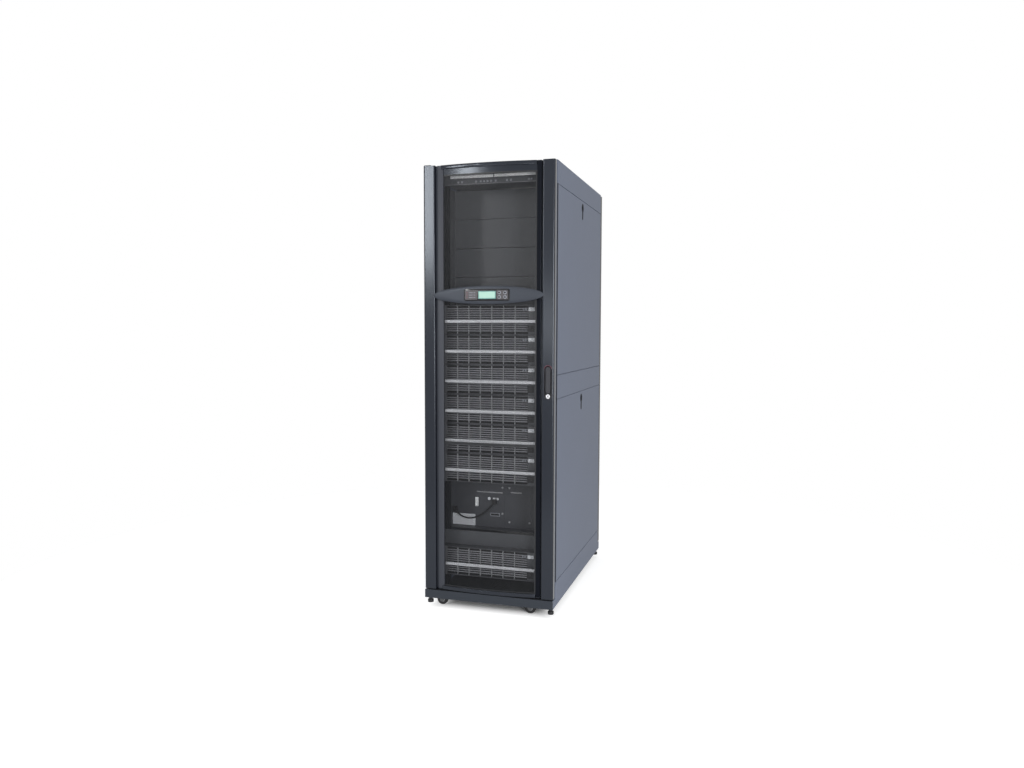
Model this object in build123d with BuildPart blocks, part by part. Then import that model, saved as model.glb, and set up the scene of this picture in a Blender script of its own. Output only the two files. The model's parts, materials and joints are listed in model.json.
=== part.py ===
"""Modular power cabinet: a tall steel rack on casters with plug-in modules behind a bowed mesh door.

Millimetres. +X is to the right of someone facing the door, +Y runs from the door to the back,
+Z is up. The origin is on the floor, under the middle of the whole cabinet.
"""
import os
from math import radians, tan

from build123d import *

# Whole cabinet
cabinet_width = 600.0
cabinet_depth = 1070.0
cabinet_height = 1991.0
console_bulge = 14.0

# Carcass
base_bottom = 46.0
base_height = 109.0
plinth_height = 38.0
skirt_thickness = 4.0
floor_thickness = 4.0
panel_thickness = 20.0
panel_seam = 3.0
panel_edge_radius = 2.0
post_width = 36.0
post_depth = 45.0
middle_rail_bottom = 966.0
middle_rail_height = 103.0
top_rail_height = 96.0
roof_thickness = 3.0
cross_rail_height = 30.0
cross_rail_depth = 80.0
fit_clearance = 0.2

# Side panel latches
latch_height = 66.0
latch_width = 18.0
latch_head_radius = 16.0
latch_depth = 3.0
latch_below_panel_top = 51.0
latch_back_offset = 25.0

# Front door
door_depth = 38.0
door_gap = 6.0
hinge_plate_gap = 2.0
stile_width = 54.0
stile_corner_radius = 8.0
stile_inner_radius = 5.0
groove_width = 8.0
groove_depth = 26.0
strip_width = 20.0
strip_setback = 11.0
strip_thickness = 20.0
strip_corner_radius = 3.0
bow_rise = 16.0
mesh_thickness = 2.0
mesh_columns = 12
mesh_rows_above = 4
mesh_rows_below = 9
mesh_bar = 10.0
mesh_border = 8.0
rim_height = 16.0
rim_thickness = 14.0
rim_proud = 4.0
band_height = 26.0
band_thickness = 3.0

# Door hinge
hinge_side_inset = 10.0
hinge_front_inset = 22.0
hinge_pin_radius = 4.0
hinge_pin_length = 36.0
hinge_collar_radius = 5.5
hinge_plate_width = 30.0
hinge_plate_front = 12.0
running_clearance = 0.05
seat_gap = 0.3

# Console on the door
console_tip_lap = 6.0
console_tip_gap = 1.0
console_tip_thickness = 3.5
console_height = 80.0
console_centre_height = 1417.0
console_mesh_gap = 0.3
display_gap = 0.5
display_width = 208.0
display_height = 52.0
display_corner_radius = 8.0
display_proud = 2.0

# Door handle
dish_width = 38.0
dish_height = 150.0
dish_centre_height = 1041.0
dish_depth = 28.0
dish_wall = 3.0
lever_width = 22.0
lever_thickness = 12.0
lever_side_gap = 5.0
lever_front_setback = 1.0
lever_pivot_drop = 10.0
lever_pin_radius = 2.5
lock_radius = 9.5
lock_gap = 5.0
lock_above_dish_end = 14.5

# Rear doors
rear_door_depth = 36.0
rear_door_gap = 4.0
rear_frame_width = 40.0
rear_mesh_setback = 10.0
rear_mesh_thickness = 2.0
rear_mesh_columns = 6
rear_mesh_rows = 12
rear_mesh_bar = 10.0
rear_mesh_border = 8.0
rear_handle_width = 26.0
rear_handle_height = 150.0
rear_handle_depth = 8.0
rear_handle_height_centre = 1044.5

# Equipment inside
row_height = 44.45
rack_side_gap = 2.7
rail_width = 18.3
rail_depth = 30.0
rail_setback = 58.0
chassis_side_gap = 3.0
chassis_depth = 640.0
rows_per_module = 3
module_count = 6
module_gap = 1.6
module_setback = 12.0
low_module_rise = 60.0
chassis_inset = 3.0
bar_height = 14.0
bar_depth = 8.0
bar_corner_radius = 3.5
bar_stand_off = 20.0
bar_end_inset = 10.0
bar_drop = 7.0
bar_post_width = 12.0
bar_post_inset = 20.0
filler_thickness = 3.0
filler_recess = 103.0
lower_filler_height = 67.0
bypass_height = 232.0
bypass_recess = 53.0
bypass_wall = 3.0
bypass_chassis_depth = 420.0
plate_width = 206.0
plate_margin = 10.0
plate_thickness = 2.0
top_unit_setback = 46.0
top_unit_depth = 300.0
top_unit_gap = 3.0
top_bar_gap = 6.0
top_bar_end_inset = 7.0
top_bar_drop = 1.0

# Patch cable on the switch unit, as across and up from the unit's lower middle
cable_radius = 3.5
cable_stand_off = 14.0
cable_route = (
    (-214.0, 74.0),
    (-196.0, 55.0),
    (-170.0, 43.0),
    (-138.0, 40.5),
    (-104.0, 50.0),
    (-74.0, 67.5),
    (-49.0, 91.0),
    (-28.0, 118.0),
)
cable_run_share = 0.45
plug_width = 18.0
plug_height = 22.0
plug_depth = 20.0
plug_overlap = 5.0

# Casters and feet
caster_side_inset = 90.0
caster_inset = 66.0
caster_plate_size = 64.0
caster_plate_thickness = 4.0
wheel_radius = 25.0
wheel_width = 18.0
wheel_edge_radius = 3.0
axle_radius = 4.0
caster_trail = 28.0
kingpin_radius = 6.0
crown_radius = 20.0
crown_thickness = 4.0
crown_gap = 2.0
fork_side_gap = 3.0
fork_thickness = 3.0
fork_end_radius = 10.0
foot_radius = 13.5
foot_pad_height = 12.0
foot_stem_radius = 6.0
foot_ground_gap = 18.0
foot_side_inset = 16.0
foot_end_inset = 30.0

# Planes and heights that follow from the sizes above
half_width = cabinet_width / 2
front_y = -(cabinet_depth - console_bulge) / 2
rear_y = front_y + cabinet_depth
body_front = front_y + door_depth + door_gap
body_rear = rear_y - rear_door_depth
plinth_top = base_bottom + plinth_height
floor_bottom = plinth_top - floor_thickness
base_top = base_bottom + base_height
roof_bottom = cabinet_height - roof_thickness
top_rail_bottom = roof_bottom - top_rail_height
cross_rail_bottom = roof_bottom - cross_rail_height
middle_rail_top = middle_rail_bottom + middle_rail_height
post_outer = half_width - panel_thickness
post_inner = post_outer - post_width
skirt_inner = half_width - skirt_thickness
door_bottom = plinth_top + door_gap
door_top = roof_bottom - hinge_plate_gap
stile_inner = half_width - stile_width
strip_outer = stile_inner - groove_width
strip_inner = strip_outer - strip_width
door_back = front_y + door_depth
strip_front = front_y + strip_setback
strip_back = strip_front + strip_thickness
rim_front = strip_front - rim_proud
mesh_end = strip_front + strip_corner_radius
top_rim_bottom = door_top - rim_height
band_bottom = top_rim_bottom - band_height
bottom_rim_top = door_bottom + rim_height
hinge_x = -half_width + hinge_side_inset
hinge_y = front_y + hinge_front_inset
dish_x = half_width - stile_width / 2
console_bottom = console_centre_height - console_height / 2
console_top = console_bottom + console_height
console_half_width = stile_inner + console_tip_lap
console_bow_half = console_half_width + console_tip_gap
console_inner_half = stile_inner - console_tip_gap
rack_width = 2 * (post_inner - rack_side_gap)
rack_opening = rack_width - 2 * rail_width
chassis_width = rack_opening - 2 * chassis_side_gap
bar_half_width = chassis_width / 2 - bar_end_inset
top_bar_half_width = bar_half_width - top_bar_end_inset
rail_front = body_front + rail_setback
rail_back = rail_front + rail_depth
fascia_front = body_front + module_setback
module_height = rows_per_module * row_height
low_module_bottom = plinth_top + low_module_rise
low_module_top = low_module_bottom + module_height
bypass_bottom = low_module_top + lower_filler_height
stack_bottom = bypass_bottom + bypass_height
module_stack_top = stack_bottom + module_count * module_height
top_unit_bottom = cross_rail_bottom - top_unit_gap - row_height
filler_count = int((top_unit_bottom - module_stack_top) // module_height)
filler_front = rail_back + filler_recess
filler_inner = rack_width / 2 - filler_thickness
bypass_front = rail_back + bypass_recess
bypass_inner = rack_width / 2 - bypass_wall
top_unit_front = body_front + top_unit_setback
kingpin_top = floor_bottom - seat_gap
plate_bottom = floor_bottom - caster_plate_thickness
crown_top = plate_bottom - crown_gap
crown_bottom = crown_top - crown_thickness

os.makedirs("parts", exist_ok=True)


def save(builder, node):
    """Label a finished piece and write it as one STEP file."""
    builder.part.label = node
    export_step(builder.part, f"parts/{node}.step")


def rectangle_between(low, high):
    """A rectangle in the current sketch, given by two opposite corners."""
    with Locations(((low[0] + high[0]) / 2, (low[1] + high[1]) / 2)):
        Rectangle(high[0] - low[0], high[1] - low[1])


def block(x_span, y_span, z_span, mode=Mode.ADD):
    """A box in the current part, given by its span along each axis."""
    with BuildSketch(Plane.XY.offset(z_span[0])) as outline:
        rectangle_between((x_span[0], y_span[0]), (x_span[1], y_span[1]))
    extrude(outline.sketch, amount=z_span[1] - z_span[0], mode=mode)


def rod(x, y, radius, z_span, mode=Mode.ADD):
    """An upright round rod or hole in the current part."""
    with BuildSketch(Plane.XY.offset(z_span[0])) as outline:
        with Locations((x, y)):
            Circle(radius)
    extrude(outline.sketch, amount=z_span[1] - z_span[0], mode=mode)


def sides(low, high):
    """The spans of a pair of mirrored pieces, left and right."""
    return ((-high, -low), (low, high))


def bowed_strip(width, end_y, thickness):
    """A strip in plan that bows forward by the door's rise between two upright edges."""
    back_y = end_y + thickness
    with BuildLine() as outline:
        ThreePointArc((-width, end_y), (0, end_y - bow_rise), (width, end_y))
        Line((width, end_y), (width, back_y))
        ThreePointArc((width, back_y), (0, back_y - bow_rise), (-width, back_y))
        Line((-width, back_y), (-width, end_y))
    make_face(outline.edges())


def cut_grid(centre, size, columns, rows, bar):
    """Cut a grid of openings through the current part, from front to back, with bars between them."""
    width = (size[0] - (columns - 1) * bar) / columns
    height = (size[1] - (rows - 1) * bar) / rows
    with BuildSketch(Plane.XZ) as openings:
        with Locations(centre):
            with GridLocations(width + bar, height + bar, columns, rows):
                Rectangle(width, height)
    extrude(openings.sketch, amount=cabinet_depth, both=True, mode=Mode.SUBTRACT)


# Base: two side rails with skirts, front and rear plinth panels, and the floor
with BuildPart() as base_side_rails:
    for side in (-1, 1):
        outer = side * half_width
        with BuildSketch(Plane.XZ.offset(-body_front)):
            with BuildLine():
                Polyline(
                    (outer, base_bottom),
                    (outer, base_top),
                    (side * post_inner, base_top),
                    (side * post_inner, plinth_top),
                    (side * skirt_inner, plinth_top),
                    (side * skirt_inner, base_bottom),
                    close=True,
                )
            make_face()
        extrude(amount=-(body_rear - body_front))
        skirt_span = (min(outer, side * skirt_inner), max(outer, side * skirt_inner))
        block(
            skirt_span,
            (front_y + skirt_thickness, rear_y - skirt_thickness),
            (base_bottom, plinth_top),
        )
save(base_side_rails, "base_side_rails")

with BuildPart() as plinth_panels:
    for near in (front_y, rear_y - skirt_thickness):
        block((-half_width, half_width), (near, near + skirt_thickness), (base_bottom, plinth_top))
save(plinth_panels, "plinth_panels")

with BuildPart() as base_floor:
    block(
        (-skirt_inner, skirt_inner),
        (front_y + skirt_thickness, rear_y - skirt_thickness),
        (floor_bottom, plinth_top),
    )
save(base_floor, "base_floor")

# Frame: corner posts, middle and top rails, roof
with BuildPart() as corner_posts:
    for span in sides(post_inner, post_outer):
        for near in (body_front, body_rear - post_depth):
            block(span, (near, near + post_depth), (base_top, top_rail_bottom))
save(corner_posts, "corner_posts")

with BuildPart() as middle_side_rails:
    for span in sides(post_outer, half_width):
        block(span, (body_front, body_rear), (middle_rail_bottom, middle_rail_top))
save(middle_side_rails, "middle_side_rails")

with BuildPart() as top_side_rails:
    for span in sides(post_inner, half_width):
        block(span, (body_front, body_rear), (top_rail_bottom, roof_bottom))
save(top_side_rails, "top_side_rails")

with BuildPart() as top_cross_rails:
    for near in (body_front, body_rear - cross_rail_depth):
        block(
            (-post_inner, post_inner),
            (near, near + cross_rail_depth),
            (cross_rail_bottom, roof_bottom),
        )
save(top_cross_rails, "top_cross_rails")

with BuildPart() as roof_panel:
    block((-half_width, half_width), (body_front, body_rear), (roof_bottom, cabinet_height))
save(roof_panel, "roof_panel")

# Lift-off side panels, each with a recess for its latch
panel_heights = {
    "lower": (base_top + panel_seam / 2, middle_rail_bottom - panel_seam / 2),
    "upper": (middle_rail_top + panel_seam / 2, top_rail_bottom - panel_seam / 2),
}
latch_y = (body_front + body_rear) / 2 + latch_back_offset


def latch_outline(panel_top, clearance):
    """The keyhole outline of a latch in the current sketch, smaller all round by a clearance."""
    middle = panel_top - latch_below_panel_top
    with Locations((latch_y, middle)):
        SlotOverall(latch_height - 2 * clearance, latch_width - 2 * clearance, rotation=90)
    with Locations((latch_y, middle + latch_height / 2 - latch_head_radius)):
        Circle(latch_head_radius - clearance)


for side_name, side in (("left", -1), ("right", 1)):
    for level, heights in panel_heights.items():
        with BuildPart() as side_panel:
            inner = side * post_outer
            outer = side * half_width
            block((min(inner, outer), max(inner, outer)), (body_front, body_rear), heights)
            outer_face = side_panel.faces().sort_by(Axis.X)[-1 if side > 0 else 0]
            fillet(outer_face.edges(), radius=panel_edge_radius)
            with BuildSketch(Plane.YZ.offset(outer)):
                latch_outline(heights[1], clearance=0)
            extrude(amount=-side * latch_depth, mode=Mode.SUBTRACT)
        save(side_panel, f"{side_name}_{level}_panel")

with BuildPart() as side_panel_latches:
    for side in (-1, 1):
        for heights in panel_heights.values():
            with BuildSketch(Plane.YZ.offset(side * (half_width - latch_depth))):
                latch_outline(heights[1], clearance=fit_clearance)
            extrude(amount=side * latch_depth)
save(side_panel_latches, "side_panel_latches")

# Split rear doors: frames, sheets and the handle on the right-hand one
rear_door_spans = sides(rear_door_gap / 2, half_width)
rear_door_heights = (door_bottom, door_top)
rear_window_heights = (door_bottom + rear_frame_width, door_top - rear_frame_width)
rear_handle_x = (rear_door_gap + rear_frame_width) / 2
with BuildPart() as rear_door_frames:
    for span in rear_door_spans:
        window = (span[0] + rear_frame_width, span[1] - rear_frame_width)
        block(span, (body_rear, rear_y), rear_door_heights)
        block(window, (body_rear, rear_y), rear_window_heights, mode=Mode.SUBTRACT)
    with BuildSketch(Plane.XZ.offset(-rear_y)):
        with Locations((rear_handle_x, rear_handle_height_centre)):
            SlotOverall(rear_handle_height, rear_handle_width, rotation=90)
    extrude(amount=rear_handle_depth, mode=Mode.SUBTRACT)
save(rear_door_frames, "rear_door_frames")

rear_mesh_back = rear_y - rear_mesh_setback
with BuildPart() as rear_door_meshes:
    for span in rear_door_spans:
        window = (span[0] + rear_frame_width, span[1] - rear_frame_width)
        block(window, (rear_mesh_back - rear_mesh_thickness, rear_mesh_back), rear_window_heights)
        cut_grid(
            (sum(window) / 2, sum(rear_window_heights) / 2),
            (
                window[1] - window[0] - 2 * rear_mesh_border,
                rear_window_heights[1] - rear_window_heights[0] - 2 * rear_mesh_border,
            ),
            rear_mesh_columns,
            rear_mesh_rows,
            rear_mesh_bar,
        )
save(rear_door_meshes, "rear_door_meshes")

with BuildPart() as rear_door_handle:
    with BuildSketch(Plane.XZ.offset(-rear_y)):
        with Locations((rear_handle_x, rear_handle_height_centre)):
            SlotOverall(
                rear_handle_height - 2 * fit_clearance,
                rear_handle_width - 2 * fit_clearance,
                rotation=90,
            )
    extrude(amount=rear_handle_depth)
save(rear_door_handle, "rear_door_handle")

# Rails that carry the equipment
with BuildPart() as equipment_rails:
    for span in sides(rack_opening / 2, rack_width / 2):
        for near in (rail_front, body_rear - rail_setback - rail_depth):
            block(span, (near, near + rail_depth), (plinth_top, cross_rail_bottom))
save(equipment_rails, "equipment_rails")

# Plug-in power modules: a deep fascia that bears on the rails, and a chassis behind it
module_bottoms = [module_stack_top - (row + 1) * module_height for row in range(module_count)]
module_bottoms.append(low_module_bottom)
for number, bottom in enumerate(module_bottoms, start=1):
    heights = (bottom + module_gap / 2, bottom + module_height - module_gap / 2)
    with BuildPart() as power_module:
        block((-rack_width / 2, rack_width / 2), (fascia_front, rail_front), heights)
        block(
            (-chassis_width / 2, chassis_width / 2),
            (rail_front, rail_front + chassis_depth),
            (heights[0] + chassis_inset, heights[1] - chassis_inset),
        )
    save(power_module, f"power_module_{number}")

# Pull bars across the modules, and the posts that hold each bar off its fascia
bar_back = fascia_front - bar_stand_off
bar_post_x = bar_half_width - bar_post_inset
bar_heights = [bottom + module_height / 2 - bar_drop for bottom in module_bottoms]
with BuildPart() as module_bars:
    for middle in bar_heights:
        with BuildSketch(Plane.YZ.offset(-bar_half_width)):
            with Locations((bar_back - bar_depth / 2, middle)):
                RectangleRounded(bar_depth, bar_height, bar_corner_radius)
        extrude(amount=2 * bar_half_width)
save(module_bars, "module_bars")

bar_post_height = bar_height - 2 * bar_corner_radius
with BuildPart() as module_bar_posts:
    for middle in bar_heights:
        for x in (-bar_post_x, bar_post_x):
            block(
                (x - bar_post_width / 2, x + bar_post_width / 2),
                (bar_back, fascia_front),
                (middle - bar_post_height / 2, middle + bar_post_height / 2),
            )
save(module_bar_posts, "module_bar_posts")

# Filler panels: shallow channels behind the rails over the modules, a flat one over the lowest module
with BuildPart() as upper_fillers:
    for row in range(filler_count):
        bottom = module_stack_top + row * module_height
        heights = (bottom + module_gap / 2, bottom + module_height - module_gap / 2)
        block((-rack_width / 2, rack_width / 2), (rail_back, filler_front + filler_thickness), heights)
        block((-filler_inner, filler_inner), (rail_back, filler_front), heights, mode=Mode.SUBTRACT)
save(upper_fillers, "upper_fillers")

with BuildPart() as lower_filler:
    block(
        (-rack_width / 2, rack_width / 2),
        (rail_front - filler_thickness, rail_front),
        (low_module_top + module_gap / 2, bypass_bottom - module_gap / 2),
    )
save(lower_filler, "lower_filler")

# Switch unit under the module stack: a case behind the rails with a sunk face, and a blank plate on it
bypass_heights = (bypass_bottom + module_gap / 2, stack_bottom - module_gap / 2)
with BuildPart() as bypass_unit:
    block((-rack_width / 2, rack_width / 2), (rail_back, rail_back + bypass_chassis_depth), bypass_heights)
    block(
        (-bypass_inner, bypass_inner),
        (rail_back, bypass_front),
        (bypass_heights[0] + bypass_wall, bypass_heights[1] - bypass_wall),
        mode=Mode.SUBTRACT,
    )
save(bypass_unit, "bypass_unit")

plate_right = bypass_inner - plate_margin
with BuildPart() as bypass_plate:
    block(
        (plate_right - plate_width, plate_right),
        (bypass_front - plate_thickness, bypass_front),
        (bypass_heights[0] + plate_margin, bypass_heights[1] - plate_margin),
    )
save(bypass_plate, "bypass_plate")

# Patch cable that hangs between two plugs on the switch unit
cable_y = bypass_front - cable_stand_off
cable_points = [Vector(x, cable_y, bypass_bottom + rise) for x, rise in cable_route]
cable_runs = [after - before for before, after in zip(cable_points, cable_points[1:])]
cable_bends = []
for before, after in zip(cable_runs, cable_runs[1:]):
    half_turn = radians(before.get_angle(after) / 2)
    cable_bends.append(cable_run_share * min(before.length, after.length) / tan(half_turn))
print("cable bend radii", [round(bend) for bend in cable_bends])
with BuildPart() as bypass_cable:
    with BuildLine() as cable_path:
        FilletPolyline(*cable_points, radius=cable_bends)
    with BuildSketch(Plane(origin=cable_points[0], z_dir=cable_runs[0])):
        Circle(cable_radius)
    sweep(path=cable_path.wire())
save(bypass_cable, "bypass_cable")

with BuildPart() as cable_plugs:
    for end, side in ((cable_points[0], -1), (cable_points[-1], 1)):
        near_x = end.X - side * plug_overlap
        far_x = near_x + side * plug_width
        block(
            (min(near_x, far_x), max(near_x, far_x)),
            (bypass_front - plug_depth, bypass_front),
            (end.Z - plug_overlap, end.Z - plug_overlap + plug_height),
        )
save(cable_plugs, "cable_plugs")

# One-unit device at the top, with a bar in two halves
top_unit_heights = (top_unit_bottom + module_gap / 2, top_unit_bottom + row_height - module_gap / 2)
with BuildPart() as top_unit:
    block((-rack_width / 2, rack_width / 2), (top_unit_front, rail_front), top_unit_heights)
    block(
        (-chassis_width / 2, chassis_width / 2),
        (rail_front, rail_front + top_unit_depth),
        (top_unit_heights[0] + chassis_inset, top_unit_heights[1] - chassis_inset),
    )
save(top_unit, "top_unit")

top_bar_top = top_unit_heights[1] - top_bar_drop
with BuildPart() as top_unit_bars:
    for span in sides(top_bar_gap / 2, top_bar_half_width):
        with BuildSketch(Plane.YZ.offset(span[0])):
            with Locations((top_unit_front - bar_depth / 2, top_bar_top - bar_height / 2)):
                RectangleRounded(bar_depth, bar_height, bar_corner_radius)
        extrude(amount=span[1] - span[0])
save(top_unit_bars, "top_unit_bars")

# Front door: two stiles, each a face, a groove and a set-back inner strip
hinge_bore_radius = hinge_pin_radius + running_clearance
for side_name, side in (("left", -1), ("right", 1)):
    with BuildPart() as door_stile:
        with BuildSketch(Plane.XY.offset(door_bottom)) as profile:
            with BuildLine():
                Polyline(
                    (side * half_width, front_y),
                    (side * half_width, door_back),
                    (side * stile_inner, door_back),
                    (side * stile_inner, strip_back),
                    (side * strip_inner, strip_back),
                    (side * strip_inner, strip_front),
                    (side * strip_outer, strip_front),
                    (side * strip_outer, front_y + groove_depth),
                    (side * stile_inner, front_y + groove_depth),
                    (side * stile_inner, front_y),
                    close=True,
                )
            make_face()
            outer_corners = profile.vertices().group_by(Axis.X, reverse=side > 0)[0]
            fillet(outer_corners, radius=stile_corner_radius)
            front_corners = profile.vertices().group_by(Axis.Y)[0]
            fillet(front_corners.sort_by(lambda corner: abs(corner.X))[0], radius=stile_inner_radius)
            strip_corners = profile.vertices().filter_by(
                lambda corner: abs(corner.Y - strip_front) < fit_clearance
            )
            fillet(strip_corners, radius=strip_corner_radius)
        extrude(amount=door_top - door_bottom)
        if side < 0:
            for low in (door_bottom, door_top - hinge_pin_length):
                rod(hinge_x, hinge_y, hinge_bore_radius, (low, low + hinge_pin_length), Mode.SUBTRACT)
        else:
            with BuildSketch(Plane.XZ.offset(-front_y)):
                with Locations((dish_x, dish_centre_height)):
                    SlotOverall(dish_height, dish_width, rotation=90)
            extrude(amount=-dish_depth, mode=Mode.SUBTRACT)
    save(door_stile, f"door_{side_name}_stile")

# Pivots that carry the door: a plate over the stile and a collar under it, each with a pin
plate_left = -half_width
with BuildPart() as door_pivots:
    block(
        (plate_left, plate_left + hinge_plate_width),
        (front_y + hinge_plate_front, body_front),
        (roof_bottom, cabinet_height),
    )
    rod(hinge_x, hinge_y, hinge_pin_radius, (door_top - hinge_pin_length + seat_gap, cabinet_height))
    rod(hinge_x, hinge_y, hinge_collar_radius, (plinth_top, door_bottom - seat_gap))
    rod(hinge_x, hinge_y, hinge_pin_radius, (plinth_top, door_bottom + hinge_pin_length - seat_gap))
save(door_pivots, "door_pivots")

# Bowed pieces between the stiles
with BuildPart() as door_top_rim:
    with BuildSketch(Plane.XY.offset(top_rim_bottom)):
        bowed_strip(strip_inner, rim_front, rim_thickness)
    extrude(amount=rim_height)
save(door_top_rim, "door_top_rim")

with BuildPart() as door_bottom_rim:
    with BuildSketch(Plane.XY.offset(door_bottom)):
        bowed_strip(strip_inner, rim_front, rim_thickness)
    extrude(amount=rim_height)
save(door_bottom_rim, "door_bottom_rim")

with BuildPart() as door_top_band:
    with BuildSketch(Plane.XY.offset(band_bottom)):
        bowed_strip(strip_inner, mesh_end, band_thickness)
    extrude(amount=band_height)
save(door_top_band, "door_top_band")

mesh_zones = (
    (bottom_rim_top, console_bottom, mesh_rows_below),
    (console_top, band_bottom, mesh_rows_above),
)
with BuildPart() as door_mesh:
    with BuildSketch(Plane.XY.offset(bottom_rim_top)):
        bowed_strip(strip_inner, mesh_end, mesh_thickness)
    extrude(amount=band_bottom - bottom_rim_top)
    for low, high, rows in mesh_zones:
        cut_grid(
            (0, (low + high) / 2),
            (2 * (strip_inner - mesh_border), high - low - 2 * mesh_border),
            mesh_columns,
            rows,
            mesh_bar,
        )
save(door_mesh, "door_mesh")

# Console: an oval bulge across the door, lying on the mesh, on the inner strips and on the stiles
console_tip_back = front_y - seat_gap
console_tip_y = console_tip_back - console_tip_thickness
console_crown_y = front_y - console_bulge + display_proud
console_back_y = mesh_end - console_mesh_gap
with BuildPart() as console_housing:
    with BuildSketch(Plane.XY.offset(console_bottom)):
        with BuildLine():
            ThreePointArc(
                (-console_bow_half, console_tip_y),
                (0, console_crown_y),
                (console_bow_half, console_tip_y),
            )
            for side in (-1, 1):
                Polyline(
                    (side * console_bow_half, console_tip_y),
                    (side * console_bow_half, console_tip_back),
                    (side * console_inner_half, console_tip_back),
                    (side * console_inner_half, strip_front),
                    (side * strip_inner, strip_front),
                    (side * strip_inner, console_back_y),
                )
            ThreePointArc(
                (-strip_inner, console_back_y),
                (0, console_back_y - bow_rise),
                (strip_inner, console_back_y),
            )
        make_face()
    extrude(amount=console_height)
    with BuildSketch(Plane.XZ.offset(-door_back)):
        with Locations((0, console_centre_height)):
            Ellipse(console_half_width, console_height / 2)
    extrude(amount=door_back - front_y + console_bulge, mode=Mode.INTERSECT)
save(console_housing, "console_housing")

# Display panel, curved like the console's face and standing proud of it
display_back_y = console_tip_y - display_gap
display_front_y = console_tip_y - display_proud
with BuildPart() as display_panel:
    with BuildSketch(Plane.XY.offset(console_bottom)):
        with BuildLine():
            ThreePointArc(
                (-console_bow_half, display_back_y),
                (0, console_crown_y - display_gap),
                (console_bow_half, display_back_y),
            )
            Line((console_bow_half, display_back_y), (console_bow_half, display_front_y))
            ThreePointArc(
                (console_bow_half, display_front_y),
                (0, console_crown_y - display_proud),
                (-console_bow_half, display_front_y),
            )
            Line((-console_bow_half, display_front_y), (-console_bow_half, display_back_y))
        make_face()
    extrude(amount=console_height)
    with BuildSketch(Plane.XZ.offset(-door_back)):
        with Locations((0, console_centre_height)):
            RectangleRounded(display_width, display_height, display_corner_radius)
    extrude(amount=door_back - front_y + console_bulge, mode=Mode.INTERSECT)
save(display_panel, "display_panel")

# Door handle: a dish sunk in the right stile, a lever on a cross pin, and a lock below it
dish_back = front_y + dish_depth
dish_floor = dish_back - dish_wall
dish_top = dish_centre_height + dish_height / 2
dish_end = dish_centre_height - dish_height / 2
inner_dish_width = lever_width + 2 * lever_side_gap
lever_front = front_y + lever_front_setback
lever_top = dish_top - (dish_width - inner_dish_width) / 2 - lever_side_gap
lock_height = dish_end + lock_above_dish_end
lever_bottom = lock_height + lock_radius + lock_gap
lever_middle = (lever_top + lever_bottom) / 2
pivot_y = lever_front + lever_thickness / 2
pivot_height = lever_top - lever_pivot_drop
with BuildPart() as handle_dish:
    with BuildSketch(Plane.XZ.offset(-front_y)):
        with Locations((dish_x, dish_centre_height)):
            SlotOverall(dish_height - 2 * fit_clearance, dish_width - 2 * fit_clearance, rotation=90)
    extrude(amount=-dish_depth)
    with BuildSketch(Plane.XZ.offset(-front_y)):
        with Locations((dish_x, dish_centre_height)):
            SlotOverall(
                dish_height - dish_width + inner_dish_width,
                inner_dish_width,
                rotation=90,
            )
    extrude(amount=-(dish_depth - dish_wall), mode=Mode.SUBTRACT)
    with BuildSketch(Plane.YZ.offset(dish_x - inner_dish_width / 2 - dish_wall / 2)):
        with Locations((pivot_y, pivot_height)):
            Circle(lever_pin_radius)
    extrude(amount=inner_dish_width + dish_wall)
save(handle_dish, "handle_dish")

with BuildPart() as door_handle:
    with BuildSketch(Plane.XZ.offset(-lever_front)):
        with Locations((dish_x, lever_middle)):
            SlotOverall(lever_top - lever_bottom, lever_width, rotation=90)
    extrude(amount=-lever_thickness)
    with BuildSketch(Plane.YZ.offset(dish_x - lever_width / 2)):
        with Locations((pivot_y, pivot_height)):
            Circle(lever_pin_radius + running_clearance)
    extrude(amount=lever_width, mode=Mode.SUBTRACT)
save(door_handle, "door_handle")

with BuildPart() as door_lock:
    with BuildSketch(Plane.XZ.offset(-dish_floor)):
        with Locations((dish_x, lock_height)):
            Circle(lock_radius)
    extrude(amount=dish_floor - lever_front)
save(door_lock, "door_lock")

# Casters: plates under the floor, forks that swivel in them, and wheels
caster_x = half_width - caster_side_inset
caster_spots = {
    "front_left": (-caster_x, front_y + caster_inset),
    "front_right": (caster_x, front_y + caster_inset),
    "rear_left": (-caster_x, rear_y - caster_inset),
    "rear_right": (caster_x, rear_y - caster_inset),
}
with BuildPart() as caster_plates:
    for x, y in caster_spots.values():
        half = caster_plate_size / 2
        block((x - half, x + half), (y - half, y + half), (plate_bottom, floor_bottom))
        rod(x, y, kingpin_radius + running_clearance, (plate_bottom, floor_bottom), Mode.SUBTRACT)
save(caster_plates, "caster_plates")


def add_fork(x, y):
    """A swivel fork in the current part: kingpin, crown, two legs and the axle between them."""
    wheel_x = x - caster_trail
    leg_inner = wheel_width / 2 + fork_side_gap
    leg_outer = leg_inner + fork_thickness
    rod(x, y, crown_radius, (crown_bottom, crown_top))
    rod(x, y, kingpin_radius, (crown_bottom, kingpin_top))
    for near in (y - leg_outer, y + leg_inner):
        with BuildSketch(Plane.XZ.offset(-near)) as leg:
            with BuildLine():
                Polyline(
                    (x - crown_radius / 2, crown_bottom),
                    (x + crown_radius / 2, crown_bottom),
                    (wheel_x + fork_end_radius, wheel_radius),
                    (wheel_x - fork_end_radius, wheel_radius),
                    close=True,
                )
            make_face()
            with Locations((wheel_x, wheel_radius)):
                Circle(fork_end_radius)
        extrude(leg.sketch, amount=-fork_thickness)
    with BuildSketch(Plane.XZ.offset(-(y - leg_outer))) as axle:
        with Locations((wheel_x, wheel_radius)):
            Circle(axle_radius)
    extrude(axle.sketch, amount=-2 * leg_outer)


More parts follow.
